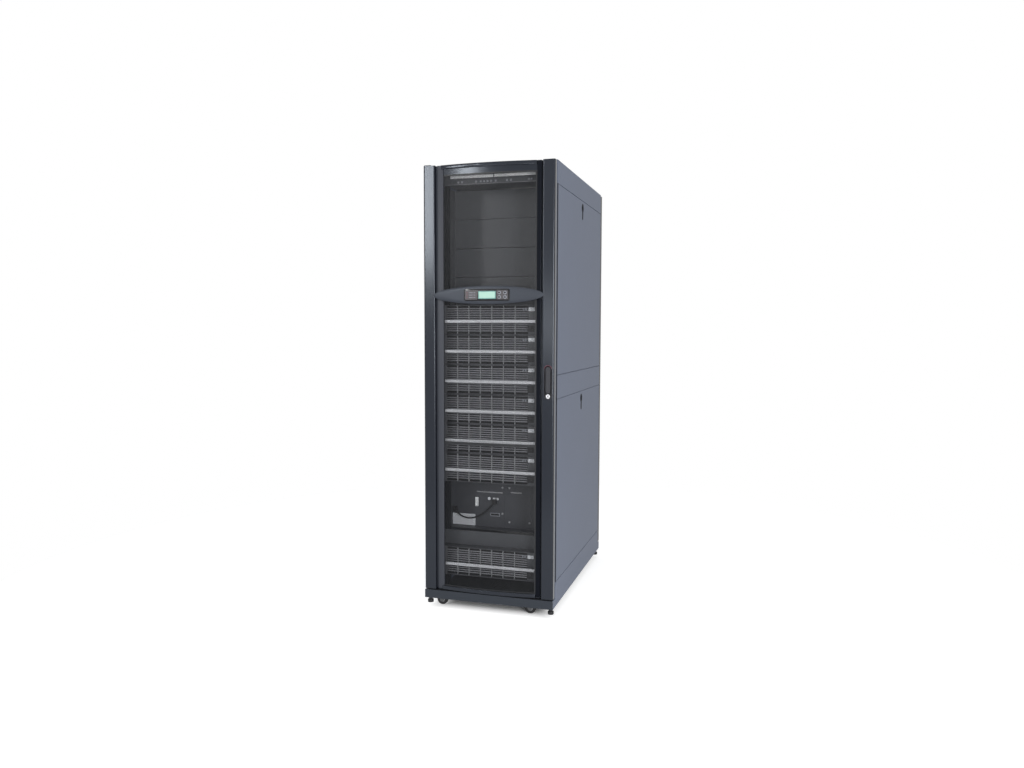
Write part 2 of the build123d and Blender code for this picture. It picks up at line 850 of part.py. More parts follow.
def add_wheel(x, y):
    """A wheel in the current part, with a bore that runs on the fork's axle."""
    wheel_x = x - caster_trail
    with BuildSketch(Plane.XZ.offset(-(y - wheel_width / 2))) as rim:
        with Locations((wheel_x, wheel_radius)):
            Circle(wheel_radius)
            Circle(axle_radius + running_clearance, mode=Mode.SUBTRACT)
    extrude(rim.sketch, amount=-wheel_width)


for corner in ("front_left", "front_right"):
    with BuildPart() as caster_fork:
        add_fork(*caster_spots[corner])
    save(caster_fork, f"{corner}_caster_fork")
    with BuildPart() as caster_wheel:
        add_wheel(*caster_spots[corner])
        tread_edges = caster_wheel.edges().filter_by(GeomType.CIRCLE).group_by(SortBy.RADIUS)[-1]
        fillet(tread_edges, radius=wheel_edge_radius)
    save(caster_wheel, f"{corner}_caster_wheel")

with BuildPart() as rear_caster_forks:
    for corner in ("rear_left", "rear_right"):
        add_fork(*caster_spots[corner])
save(rear_caster_forks, "rear_caster_forks")

with BuildPart() as rear_caster_wheels:
    for corner in ("rear_left", "rear_right"):
        add_wheel(*caster_spots[corner])
    tread_edges = rear_caster_wheels.edges().filter_by(GeomType.CIRCLE).group_by(SortBy.RADIUS)[-1]
    fillet(tread_edges, radius=wheel_edge_radius)
save(rear_caster_wheels, "rear_caster_wheels")

# Levelling feet, wound up clear of the ground
with BuildPart() as levelling_feet:
    for x in (-half_width + foot_side_inset, half_width - foot_side_inset):
        for y in (front_y + foot_end_inset, rear_y - foot_end_inset):
            rod(x, y, foot_radius, (foot_ground_gap, foot_ground_gap + foot_pad_height))
            rod(x, y, foot_stem_radius, (foot_ground_gap, floor_bottom))
save(levelling_feet, "levelling_feet")
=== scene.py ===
"""Looks of the modular power cabinet: finishes, sheets, grilles, console and small fittings."""
import json
from math import asin, atan2, cos, pi, radians, sin, sqrt

import bmesh
import bpy
from mathutils import Matrix, Vector


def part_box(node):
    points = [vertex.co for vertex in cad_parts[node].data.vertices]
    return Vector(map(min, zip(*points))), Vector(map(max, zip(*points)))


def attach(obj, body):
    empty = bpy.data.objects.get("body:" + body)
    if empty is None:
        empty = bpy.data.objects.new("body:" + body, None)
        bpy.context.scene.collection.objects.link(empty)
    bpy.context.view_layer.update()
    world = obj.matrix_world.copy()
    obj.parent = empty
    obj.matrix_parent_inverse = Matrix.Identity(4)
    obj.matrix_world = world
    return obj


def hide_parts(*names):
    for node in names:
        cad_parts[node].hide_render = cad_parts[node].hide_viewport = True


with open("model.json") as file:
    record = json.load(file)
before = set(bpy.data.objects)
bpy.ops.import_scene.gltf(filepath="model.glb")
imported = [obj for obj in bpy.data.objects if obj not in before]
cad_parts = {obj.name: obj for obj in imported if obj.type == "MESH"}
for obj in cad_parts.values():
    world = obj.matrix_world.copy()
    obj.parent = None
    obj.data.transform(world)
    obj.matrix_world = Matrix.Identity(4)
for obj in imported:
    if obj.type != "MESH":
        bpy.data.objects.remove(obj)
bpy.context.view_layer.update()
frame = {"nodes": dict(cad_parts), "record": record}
MM = 0.001
scene = bpy.context.scene
slot_of_node = {part["node"]: part["material_slot"] for part in frame["record"]["subparts"]}


# Camera, at the photograph's place
PHOTO_WIDTH = 1024
SENSOR_WIDTH = 36
focal_length_pixels = 823.1
camera_place = Vector((1.1398, -3.9465, 1.2724))
camera_yaw = radians(-16.73)
camera_pitch = radians(-3.865)
camera_roll = radians(0.146)
level_right = Vector((cos(camera_yaw), -sin(camera_yaw), 0))
level_ahead = Vector((sin(camera_yaw), cos(camera_yaw), 0))
ahead = level_ahead * cos(camera_pitch) + Vector((0, 0, sin(camera_pitch)))
level_up = level_right.cross(ahead)
camera_right = level_right * cos(camera_roll) + level_up * sin(camera_roll)
camera_up = level_up * cos(camera_roll) - level_right * sin(camera_roll)
camera_data = bpy.data.cameras.new("camera")
camera_data.sensor_width = SENSOR_WIDTH
camera_data.lens = focal_length_pixels / PHOTO_WIDTH * SENSOR_WIDTH
camera = bpy.data.objects.new("camera", camera_data)
camera_turn = Matrix((camera_right, camera_up, -ahead)).transposed().to_4x4()
camera.matrix_world = Matrix.Translation(camera_place) @ camera_turn
scene.collection.objects.link(camera)
scene.camera = camera


# Materials
CLOUD_SCALE, CLOUD_DETAIL = 4.0, 5.0
GRAIN_DETAIL = 2.0
GLOSS_SPREAD = 0.05
RELIEF_HEIGHT = 0.2 * MM


def finish_material(name, colour, roughness, variation=0.06, grain=900.0, bump=0.05, stretch=(1, 1, 1),
                    **sockets):
    """A surface whose colour, gloss and fine relief vary with noise in the object's frame."""
    material = bpy.data.materials.new(name)
    material.use_nodes = True
    nodes, links = material.node_tree.nodes, material.node_tree.links
    shader = nodes["Principled BSDF"]
    for socket, value in sockets.items():
        shader.inputs[socket.replace("_", " ")].default_value = value
    place = nodes.new("ShaderNodeTexCoord")
    scaling = nodes.new("ShaderNodeMapping")
    scaling.inputs["Scale"].default_value = stretch
    links.new(place.outputs["Object"], scaling.inputs["Vector"])
    cloud = nodes.new("ShaderNodeTexNoise")
    cloud.inputs["Scale"].default_value = CLOUD_SCALE
    cloud.inputs["Detail"].default_value = CLOUD_DETAIL
    fine = nodes.new("ShaderNodeTexNoise")
    fine.inputs["Scale"].default_value = grain
    fine.inputs["Detail"].default_value = GRAIN_DETAIL
    for noise in (cloud, fine):
        links.new(scaling.outputs["Vector"], noise.inputs["Vector"])
    tint = nodes.new("ShaderNodeMix")
    tint.data_type = "RGBA"
    tint.inputs["A"].default_value = (*(c * (1 - variation) for c in colour), 1)
    tint.inputs["B"].default_value = (*(min(1, c * (1 + variation)) for c in colour), 1)
    links.new(cloud.outputs["Fac"], tint.inputs["Factor"])
    links.new(tint.outputs["Result"], shader.inputs["Base Color"])
    gloss = nodes.new("ShaderNodeMapRange")
    gloss.inputs["To Min"].default_value = roughness - GLOSS_SPREAD
    gloss.inputs["To Max"].default_value = roughness + GLOSS_SPREAD
    links.new(fine.outputs["Fac"], gloss.inputs["Value"])
    links.new(gloss.outputs["Result"], shader.inputs["Roughness"])
    relief = nodes.new("ShaderNodeBump")
    relief.inputs["Strength"].default_value = bump
    relief.inputs["Distance"].default_value = RELIEF_HEIGHT
    links.new(fine.outputs["Fac"], relief.inputs["Height"])
    links.new(relief.outputs["Normal"], shader.inputs["Normal"])
    return material


BRUSHED_ALONG_X = (0.02, 1, 1)
BLUISH = (0.84, 0.91, 1.0, 1)
door_look = dict(colour=(0.009, 0.0105, 0.0155), roughness=0.21, grain=1200, Specular_IOR_Level=0.34,
                 Specular_Tint=BLUISH)
looks = {
    # The slots of the part
    "side_paint": dict(colour=(0.092, 0.111, 0.160), roughness=0.50, variation=0.04, bump=0.10,
                       Specular_IOR_Level=0.25),
    "frame_paint": dict(colour=(0.020, 0.021, 0.025), roughness=0.45, Specular_IOR_Level=0.35),
    "plinth_paint": dict(colour=(0.019, 0.022, 0.028), roughness=0.42, Specular_IOR_Level=0.3,
                         Specular_Tint=BLUISH),
    "latch_black": dict(colour=(0.008, 0.008, 0.010), roughness=0.40, grain=1500, Specular_IOR_Level=0.3),
    "rear_sheet": dict(colour=(0.014, 0.015, 0.017), roughness=0.45, Specular_IOR_Level=0.3),
    "module_black": dict(colour=(0.052, 0.054, 0.062), roughness=0.45, grain=1400, Specular_IOR_Level=0.4),
    "bar_silver": dict(colour=(0.50, 0.51, 0.54), roughness=0.46, bump=0.01, stretch=BRUSHED_ALONG_X,
                       Metallic=0.35),
    "filler_black": dict(colour=(0.055, 0.058, 0.066), roughness=0.45, Specular_IOR_Level=0.4),
    "bypass_black": dict(colour=(0.036, 0.038, 0.046), roughness=0.46, Specular_IOR_Level=0.4),
    "cable_black": dict(colour=(0.008, 0.008, 0.009), roughness=0.45, grain=2000, Specular_IOR_Level=0.3),
    "door_black": door_look,
    "door_rim": door_look,
    "door_sheet": dict(colour=(0.010, 0.011, 0.013), roughness=0.42, Specular_IOR_Level=0.3),
    "console_grey": dict(colour=(0.024, 0.027, 0.035), roughness=0.42, grain=1500, Specular_IOR_Level=0.35,
                         Specular_Tint=BLUISH),
    "display_black": dict(colour=(0.006, 0.006, 0.008), roughness=0.20, bump=0.01, Specular_IOR_Level=0.35),
    "handle_black": dict(colour=(0.016, 0.017, 0.022), roughness=0.36, grain=1500, Specular_IOR_Level=0.4),
    "lock_chrome": dict(colour=(0.66, 0.67, 0.70), roughness=0.22, grain=2000, bump=0.02, Metallic=1.0),
    "caster_zinc": dict(colour=(0.085, 0.087, 0.092), roughness=0.40, grain=600, Metallic=0.5),
    "caster_wheel": dict(colour=(0.010, 0.010, 0.011), roughness=0.55, grain=1800, Specular_IOR_Level=0.3),
    "foot_black": dict(colour=(0.012, 0.012, 0.014), roughness=0.45, grain=1600, Specular_IOR_Level=0.3),
    # More finishes, for details
    "pale_label": dict(colour=(0.62, 0.64, 0.68), roughness=0.50, variation=0.10, grain=300),
    "white_plastic": dict(colour=(0.80, 0.82, 0.84), roughness=0.38, grain=1500),
    "grey_mark": dict(colour=(0.20, 0.21, 0.24), roughness=0.45, grain=1500),
    "panel_grey": dict(colour=(0.034, 0.030, 0.035), roughness=0.40, grain=1500),
    "rib_grey": dict(colour=(0.24, 0.245, 0.26), roughness=0.45, grain=1400),
    # A much lighter copy of the bar finish for the top unit's bars: painted light, standing in for light
    # that their shaded place doesn't get
    "top_bar_painted_light": dict(colour=(0.90, 0.91, 0.93), roughness=0.46, bump=0.01, Metallic=0.1),
    "slat_grey": dict(colour=(0.165, 0.168, 0.185), roughness=0.45, grain=1400),
    # Near-black, barely reflecting finish: the real black of the side latch knobs, and painted shade on the
    # equipment rails, the right inner strip of the door and the side edge strips
    "black_rubber_and_painted_shade": dict(colour=(0.004, 0.005, 0.008), roughness=0.55, grain=1800, Specular_IOR_Level=0.05),
    "strip_satin": dict(colour=(0.030, 0.033, 0.042), roughness=0.50, grain=1500, Specular_IOR_Level=0.3),
    "groove_grey": dict(colour=(0.022, 0.025, 0.033), roughness=0.50, grain=1500, Specular_IOR_Level=0.2),
    # Near-black finish for plates in recesses, slots and the key slit: painted shade
    "painted_recess_shade": dict(colour=(0.006, 0.006, 0.007), roughness=0.60, Specular_IOR_Level=0.2),
    "lcd_rim": dict(colour=(0.10, 0.24, 0.22), roughness=0.30, bump=0.01),
    "lcd_glass": dict(colour=(0.31, 0.50, 0.42), roughness=0.25, bump=0.01),
    "hub_grey": dict(colour=(0.30, 0.31, 0.33), roughness=0.42, grain=1500),
    "dull_red": dict(colour=(0.080, 0.024, 0.036), roughness=0.40, grain=1500),
}
finishes = {name: finish_material(name, **look) for name, look in looks.items()}

# The top unit's bars take a lighter copy of the bar finish as painted light; the equipment rails take the
# near-black finish as painted shade of the deep interior
own_finish_of_node = {"top_unit_bars": "top_bar_painted_light", "equipment_rails": "black_rubber_and_painted_shade"}
for node, cad_object in frame["nodes"].items():
    cad_object.data.materials.clear()
    cad_object.data.materials.append(finishes[own_finish_of_node.get(node, slot_of_node[node])])


# Rounded edges on carried-over solids
weld_distance = 0.01 * MM
solid_edge = 0.8 * MM
solid_edge_angle = radians(40)
softened_nodes = (
    "plinth_panels", "base_side_rails", "middle_side_rails", "top_side_rails", "roof_panel", "door_top_rim",
    "door_bottom_rim", "rear_door_frames", "upper_fillers", "lower_filler", "top_unit", "top_unit_bars",
    "bypass_unit", "bypass_plate", "cable_plugs", "door_handle", "handle_dish", "side_panel_latches",
    "rear_door_handle", "levelling_feet", "corner_posts", "equipment_rails", "display_panel", "door_lock",
)


def soften_edges(node, width):
    """Round the hard edges of a carried-over solid a little, so that they catch the light."""
    cad_object = frame["nodes"][node]
    weld = cad_object.modifiers.new("weld", "WELD")
    weld.merge_threshold = weld_distance
    rounding = cad_object.modifiers.new("rounding", "BEVEL")
    rounding.width = width
    rounding.segments = 2
    rounding.limit_method = "ANGLE"
    rounding.angle_limit = solid_edge_angle
    rounding.harden_normals = True


for node in softened_nodes:
    soften_edges(node, solid_edge)


# Mesh helpers
LARGEST_EDGE_SHARE = 0.45
CORNER_STEPS = 5


def bevel_new(bm, verts, radius):
    """Round the edges between freshly made vertices."""
    edges = list({edge for vert in verts for edge in vert.link_edges})
    bmesh.ops.bevel(bm, geom=edges, offset=radius, segments=2, profile=0.5, affect="EDGES")


def add_block(bm, low, high, radius=0.6 * MM):
    """A block with rounded edges, given by two opposite corners."""
    low, high = Vector(low), Vector(high)
    size, middle = high - low, (low + high) / 2
    stretched = Matrix.Translation(middle) @ Matrix.Diagonal((*size, 1))
    made = bmesh.ops.create_cube(bm, size=1, matrix=stretched)
    bevel_new(bm, made["verts"], min(radius, LARGEST_EDGE_SHARE * min(size)))


def join_rings(bm, rings):
    """Faces between closed rings of vertices that follow each other."""
    for near, far in zip(rings, rings[1:]):
        for step in range(len(near)):
            after = (step + 1) % len(near)
            bm.faces.new((near[step], near[after], far[after], far[step]))


def add_closed_form(bm, rings):
    """A form through rings of vertices, with a cap at each end."""
    join_rings(bm, rings)
    bm.faces.new(list(reversed(rings[0])))
    bm.faces.new(rings[-1])


def add_lathe(bm, centre, axis, profile, segments=32):
    """A turned form: profile holds (distance along the axis, radius) from one end to the other."""
    axis = Vector(axis).normalized()
    across = axis.orthogonal().normalized()
    beside = axis.cross(across)
    turns = [2 * pi * step / segments for step in range(segments)]
    spokes = [across * cos(turn) + beside * sin(turn) for turn in turns]
    rings = []
    for along, radius in profile:
        rings.append([bm.verts.new(Vector(centre) + axis * along + spoke * radius) for spoke in spokes])
    add_closed_form(bm, rings)


def in_metres(profile):
    """A turned profile whose numbers are millimetres."""
    return [(along * MM, radius * MM) for along, radius in profile]


def rounded_outline(width, height, radius):
    """The corner-rounded outline of a plate about its middle."""
    outline = []
    corners = ((1, 1, 0), (-1, 1, 1), (-1, -1, 2), (1, -1, 3))
    for across, up, quarter in corners:
        for step in range(CORNER_STEPS + 1):
            turn = pi / 2 * (quarter + step / CORNER_STEPS)
            outline.append((across * (width / 2 - radius) + radius * cos(turn),
                            up * (height / 2 - radius) + radius * sin(turn)))
    return outline


def add_plate(bm, place, width, height, thickness, radius, edge=0.4 * MM):
    """A rounded plate that lies on the XY plane of place, with its front edge broken."""
    outer = rounded_outline(width, height, radius)
    inner = rounded_outline(width - 2 * edge, height - 2 * edge, radius - edge)
    rings = []
    for outline, rise in ((outer, 0), (outer, thickness - edge), (inner, thickness)):
        rings.append([bm.verts.new(place @ Vector((x, y, rise))) for x, y in outline])
    add_closed_form(bm, rings)


def add_bead(bm, points, radius, sides=8):
    """A round bead along points that lie in an upright plane facing front."""
    turns = [2 * pi * side / sides for side in range(sides)]
    rings = []
    for before, point, after in zip(points[:1] + points, points, points[1:] + points[-1:]):
        along = (after - before).normalized()
        across = along.cross(Vector((0, 1, 0)))
        rings.append([bm.verts.new(point + (across * cos(turn) + Vector((0, 1, 0)) * sin(turn)) * radius)
                      for turn in turns])
    add_closed_form(bm, rings)


def place_piece(name, data, finish, body="cabinet", replaces=()):
    """Put a mesh or a curve into the scene as a piece that rides on a body and wears a finish."""
    data.materials.append(finishes[finish])
    piece = bpy.data.objects.new(name, data)
    scene.collection.objects.link(piece)
    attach(piece, body)
    if replaces:
        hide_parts(*replaces)
    return piece


def make_piece(name, bm, finish, body="cabinet", replaces=(), smooth_angle=40):
    """Turn a bmesh into a smooth-shaded piece."""
    bmesh.ops.recalc_face_normals(bm, faces=bm.faces)
    mesh = bpy.data.meshes.new(name)
    bm.to_mesh(mesh)
    bm.free()
    mesh.shade_smooth()
    mesh.set_sharp_from_angle(angle=radians(smooth_angle))
    place_piece(name, mesh, finish, body, replaces)


def facing_front(x, y, z):
    """A frame on an upright face: X right, Y up, Z towards the front."""
    return Matrix.Translation((x, y, z)) @ Matrix.Rotation(pi / 2, 4, "X")


FRONT = (0, -1, 0)
SCREW_HEAD = ((0, 1.0), (0.30, 1.0), (0.45, 0.8), (0.45, 0.35), (0.20, 0.28), (0.20, 0.05))
SIDES = (("left", -1), ("right", 1))


def add_screw(bm, place, radius):
    """A round screw head with a socket, on a face that looks to the front."""
    profile = [(along * radius, around * radius) for along, around in SCREW_HEAD]
    add_lathe(bm, place, FRONT, profile, 16)


# Patch cable on the switch unit: across, and up from the unit's lower middle, as in the part
cable_radius = 3.5 * MM
cable_route = ((-214, 74), (-196, 55), (-170, 43), (-138, 40.5),
               (-104, 50), (-74, 67.5), (-49, 91), (-28, 118))
cable_low, cable_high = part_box("bypass_cable")
plug_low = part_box("cable_plugs")[0]
plug_overlap = 5.0 * MM
cable_y = (cable_low.y + cable_high.y) / 2
route_base = plug_low.z + plug_overlap - cable_route[0][1] * MM
cable_curve = bpy.data.curves.new("patch_cable", "CURVE")
cable_curve.dimensions = "3D"
cable_curve.bevel_depth = cable_radius
cable_curve.bevel_resolution = 4
cable_curve.resolution_u = 12
cable_line = cable_curve.splines.new("NURBS")
cable_line.points.add(len(cable_route) - 1)
for point, (across, rise) in zip(cable_line.points, cable_route):
    point.co = (across * MM, cable_y, route_base + rise * MM, 1)
cable_line.order_u = 3
cable_line.use_endpoint_u = True
patch_cable = place_piece("patch_cable", cable_curve, "cable_black",
                          replaces=("bypass_cable",))


# Perforated sheets
MARGIN_STEPS = 24


def perforated_sheet(name, place, span, heights, pitch, open_share, margin, slot, body, replaces):
    """A sheet of hexagonal holes inside a plain margin; place turns (along, height) into a point."""
    bm = bmesh.new()
    row_step = pitch * sqrt(3) / 2
    outer = pitch / sqrt(3)
    inner = outer * open_share
    corners = [(cos(pi / 6 + pi / 3 * k), sin(pi / 6 + pi / 3 * k)) for k in range(6)]
    rows = int((heights[1] - heights[0] - 2 * margin) / row_step)
    columns = int((span[1] - span[0] - 2 * margin) / pitch)
    first_row = (heights[0] + heights[1] - (rows - 1) * row_step) / 2
    first_column = (span[0] + span[1] - (columns - 0.5) * pitch) / 2
    for row in range(rows):
        height = first_row + row * row_step
        for column in range(columns):
            along = first_column + (column + 0.5 * (row % 2)) * pitch
            rim = [bm.verts.new(place(along + outer * c, height + outer * s)) for c, s in corners]
            hole = [bm.verts.new(place(along + inner * c, height + inner * s)) for c, s in corners]
            join_rings(bm, (rim, hole))
    left = first_column - 0.5 * pitch
    right = first_column + columns * pitch
    low = first_row - outer
    high = first_row + (rows - 1) * row_step + outer
    lap = 0.5 * pitch
    edge = [span[0] + (span[1] - span[0]) * step / MARGIN_STEPS for step in range(MARGIN_STEPS + 1)]
    margins = []
    for near, far in ((heights[0], low + lap), (high - lap, heights[1])):
        margins += [((start, near), (end, near), (end, far), (start, far))
                    for start, end in zip(edge, edge[1:])]
    for near, far in ((span[0], left + lap), (right - lap, span[1])):
        margins.append(((near, heights[0]), (far, heights[0]), (far, heights[1]), (near, heights[1])))
    for corner_spots in margins:
        bm.faces.new([bm.verts.new(place(*spot)) for spot in corner_spots])
    mesh = bpy.data.meshes.new(name)
    bm.to_mesh(mesh)
    bm.free()
    place_piece(name, mesh, slot, body, replaces)


mesh_low, mesh_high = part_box("door_mesh")
mesh_half = mesh_high.x
mesh_thickness = 2.0 * MM
mesh_rise = mesh_high.y - mesh_low.y - mesh_thickness
mesh_radius = (mesh_half ** 2 + mesh_rise ** 2) / (2 * mesh_rise)
mesh_axis_y = mesh_low.y + mesh_radius
mesh_reach = atan2(mesh_half, mesh_radius - mesh_rise) * mesh_radius


def on_door_sheet(along, height):
    """A point of the bowed door sheet, by its distance along the bow."""
    turn = along / mesh_radius
    return Vector((mesh_radius * sin(turn), mesh_axis_y - mesh_radius * cos(turn), height))


console_low, console_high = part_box("console_housing")
console_middle = (console_low.z + console_high.z) / 2
door_pitch = 5.5 * MM
door_open_share = 0.82
door_margin = 2 * MM
door_split = (mesh_low.z + console_middle) / 2
door_levels = {"upper": (console_middle, mesh_high.z), "middle": (door_split, console_middle),
               "lower": (mesh_low.z, door_split)}
for level, heights in door_levels.items():
    perforated_sheet(f"door_sheet_{level}", on_door_sheet, (-mesh_reach, mesh_reach), heights, door_pitch,
                     door_open_share, door_margin, "door_sheet", "front_door", ("door_mesh",))

rear_low, rear_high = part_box("rear_door_meshes")
rear_frame_width = 40.0 * MM
rear_door_gap = 4.0 * MM
rear_pitch = 8 * MM
rear_open_share = 0.80
rear_margin = 7 * MM
rear_window_inner = rear_door_gap / 2 + rear_frame_width
rear_spans = {"left": (rear_low.x, -rear_window_inner), "right": (rear_window_inner, rear_high.x)}


def on_rear_sheet(along, height):
    """A point of the flat rear sheets."""
    return Vector((along, rear_high.y, height))


for side, span in rear_spans.items():
    perforated_sheet(f"rear_sheet_{side}", on_rear_sheet, span, (rear_low.z, rear_high.z), rear_pitch,
                     rear_open_share, rear_margin, "rear_sheet", "cabinet", ("rear_door_meshes",))


# Power modules: a fascia with louvres and ribs round a recess, with a near-black plate behind the louvres as
# painted shade of the recess, a label, two marks and a latch.
# The sizes of a plate are its width, height, thickness and corner radius.
module_count = 7
chassis_half = 0.220
chassis_inset = 3 * MM
fascia_thickness = 46 * MM
fascia_edge = 1.2 * MM
grille_depth = 11 * MM
grille_left, grille_right = -0.214, 0.168
grille_margin = 7 * MM
grille_lip = 4 * MM
grille_lip_edge = 1 * MM
grille_set_back = 1 * MM
recess_out, recess_in, recess_edge = 0.3 * MM, 0.2 * MM, 0.1 * MM
slat_pitch = 9.9 * MM
slat_height = 4.6 * MM
slat_depth = 8 * MM
slat_edge = 0.8 * MM
slat_tilt = radians(-24)
rib_pitch = 54 * MM
rib_half = 1.4 * MM
rib_numbers = (-3, -2, -1, 0, 1, 2)
label_x, label_rise = 0.184, 46 * MM
label_size = (28 * MM, 16 * MM, 0.6 * MM, 1.5 * MM)
mark_places = (0.147, 0.158)
mark_set_back = 4 * MM
mark_size = (6 * MM, 12 * MM, 5 * MM, 1 * MM)
latch_x, latch_rise = 0.182, -38 * MM
latch_size = (30 * MM, 28 * MM, 1.2 * MM, 3 * MM)
latch_button_out = 1 * MM
latch_button = in_metres(((0, 8), (1.6, 8), (2.4, 6.6), (2.4, 0.5)))
for number in range(1, module_count + 1):
    node = f"power_module_{number}"
    low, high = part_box(node)
    rail_front = low.y + fascia_thickness
    grille_back = low.y + grille_depth
    grille_front = low.y + grille_set_back
    grille_bottom, grille_top = low.z + grille_lip, high.z - grille_lip
    middle = (low.z + high.z) / 2
    bm = bmesh.new()
    add_block(bm, (low.x, grille_back, low.z), (high.x, rail_front, high.z), grille_lip_edge)
    add_block(bm, (-chassis_half, rail_front, low.z + chassis_inset),
              (chassis_half, high.y, high.z - chassis_inset))
    add_block(bm, low, (grille_left, grille_back, high.z), fascia_edge)
    add_block(bm, (grille_right, low.y, low.z), (high.x, grille_back, high.z), fascia_edge)
    for near, far in ((low.z, grille_bottom), (grille_top, high.z)):
        add_block(bm, (grille_left, grille_front, near), (grille_right, grille_back, far), grille_lip_edge)
    make_piece(f"module_{number}_body", bm, "module_black", replaces=(node,))

    bm = bmesh.new()
    slats = int((high.z - low.z - 2 * grille_margin) / slat_pitch)
    first = middle - (slats - 1) * slat_pitch / 2
    slat_size = Matrix.Diagonal((grille_right - grille_left, slat_depth, slat_height, 1))
    slat_form = Matrix.Rotation(slat_tilt, 4, "X") @ slat_size
    for slat in range(slats):
        place = Matrix.Translation(((grille_left + grille_right) / 2, low.y + grille_depth / 2,
                                    first + slat * slat_pitch))
        made = bmesh.ops.create_cube(bm, size=1, matrix=place @ slat_form)
        bevel_new(bm, made["verts"], slat_edge)
    make_piece(f"module_{number}_grille", bm, "slat_grey")

    bm = bmesh.new()
    for rib in rib_numbers:
        add_block(bm, (rib * rib_pitch - rib_half, grille_front, grille_bottom),
                  (rib * rib_pitch + rib_half, grille_back, grille_top))
    make_piece(f"module_{number}_ribs", bm, "rib_grey")

    # A near-black plate at the back of the louvres: painted shade of the recess
    bm = bmesh.new()
    add_block(bm, (grille_left, grille_back - recess_out, grille_bottom),
              (grille_right, grille_back + recess_in, grille_top), recess_edge)
    make_piece(f"module_{number}_recess", bm, "painted_recess_shade")

    bm = bmesh.new()
    add_plate(bm, facing_front(label_x, low.y, middle + label_rise), *label_size)
    make_piece(f"module_{number}_label", bm, "pale_label")

    bm = bmesh.new()
    for across in mark_places:
        add_plate(bm, facing_front(across, low.y + mark_set_back, middle + label_rise), *mark_size)
    make_piece(f"module_{number}_marks", bm, "grey_mark")

    bm = bmesh.new()
    add_plate(bm, facing_front(latch_x, low.y, middle + latch_rise), *latch_size)
    add_lathe(bm, (latch_x, low.y - latch_button_out, middle + latch_rise), FRONT, latch_button, 24)
    make_piece(f"module_{number}_latch", bm, "latch_black")


# Filler panels: folded edges that close the joints between them
filler_low, filler_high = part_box("upper_fillers")
filler_count = 4
filler_pitch = 133.35 * MM
filler_gap = 1.6 * MM
flange_depth = 24 * MM
flange_thickness = 1.5 * MM
flange_lap = 1 * MM
bm = bmesh.new()
for row in range(filler_count):
    bottom = filler_low.z + row * filler_pitch
    top = bottom + filler_pitch - filler_gap
    for near, far in ((bottom, bottom + flange_thickness), (top - flange_thickness, top)):
        add_block(bm, (filler_low.x, filler_high.y - flange_lap, near),
                  (filler_high.x, filler_high.y + flange_depth, far))
make_piece("filler_flanges", bm, "filler_black")


# Switch unit: screws, sockets, a slot with a near-black inner plate as painted shade, a connector and a bare
# label on its sunk face (in millimetres)
plate_low, plate_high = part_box("bypass_plate")
face_y = plate_high.y
bypass_screw_radius = 5 * MM
bypass_screws = {face_y: ((12, 536), (12, 413)), plate_low.y: ((46, 536), (47, 376), (143, 378))}
bm = bmesh.new()
for screw_y, screw_places in bypass_screws.items():
    for across, height in screw_places:
        add_screw(bm, (across * MM, screw_y, height * MM), bypass_screw_radius)
make_piece("bypass_screws", bm, "hub_grey")

socket_height = 0.481
round_socket_x = -0.052
round_socket = in_metres(((0, 7), (3, 7), (3.6, 6), (3.6, 4), (1.5, 3.4)))
square_socket_places = (-0.028, -0.012)
square_socket_size = (12 * MM, 10 * MM, 2.5 * MM, 1.5 * MM)
bm = bmesh.new()
add_lathe(bm, (round_socket_x, face_y, socket_height), FRONT, round_socket, 24)
for across in square_socket_places:
    add_plate(bm, facing_front(across, face_y, socket_height), *square_socket_size)
make_piece("bypass_sockets", bm, "pale_label")

# Each plate: across, out from the sunk face and height of its middle, then its four sizes
bypass_plates = {
    "bypass_label": ("pale_label", [(-177.5, 0, 375.5, 113, 53, 0.5, 2)]),
    "bypass_connector": ("white_plastic", [(-113, 0, 463, 15, 42, 4, 3), (-113, 4, 455, 9, 18, 6, 2)]),
    "bypass_slot_frame": ("grey_mark", [(-24, 0, 406.5, 48, 16, 1.5, 2)]),
    # The slot's near-black inner plate is painted shade
    "bypass_slot": ("painted_recess_shade", [(-24, 1, 406.5, 40, 9, 0.7, 1)]),
}
for name, (finish, plates) in bypass_plates.items():
    bm = bmesh.new()
    for across, out, height, *sizes in plates:
        place = facing_front(across * MM, face_y - out * MM, height * MM)
        add_plate(bm, place, *(size * MM for size in sizes))
    make_piece(name, bm, finish)

# Each ledge: its left and right end, the face it stands on and its lower edge
ledge_depth, ledge_height = 3 * MM, 6 * MM
bypass_ledges = ((-0.113, 0.014, face_y, 0.508), (0.053, 0.106, plate_low.y, 0.513))
bm = bmesh.new()
for left, right, ledge_back, bottom in bypass_ledges:
    add_block(bm, (left, ledge_back - ledge_depth, bottom), (right, ledge_back, bottom + ledge_height))
make_piece("bypass_ledges", bm, "rib_grey")


# One-unit device at the top: a row of small keys and a bright lower lip
top_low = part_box("top_unit")[0]
top_key_places = (-168, -150, -84, -62, -46, -30, -14, 8, 60, 78, 160, 172)
top_key_rise = 12 * MM
top_key_size = (9 * MM, 8 * MM, 1.2 * MM, 2 * MM)
top_lip_depth = 1 * MM
top_lip_bottom, top_lip_top = top_low.z + 1 * MM, top_low.z + 3 * MM
bm = bmesh.new()
for across in top_key_places:
    add_plate(bm, facing_front(across * MM, top_low.y, top_low.z + top_key_rise), *top_key_size)
make_piece("top_unit_keys", bm, "grey_mark")

bm = bmesh.new()
add_block(bm, (-chassis_half, top_low.y - top_lip_depth, top_lip_bottom),
          (chassis_half, top_low.y, top_lip_top))
make_piece("top_unit_lip", bm, "rib_grey")


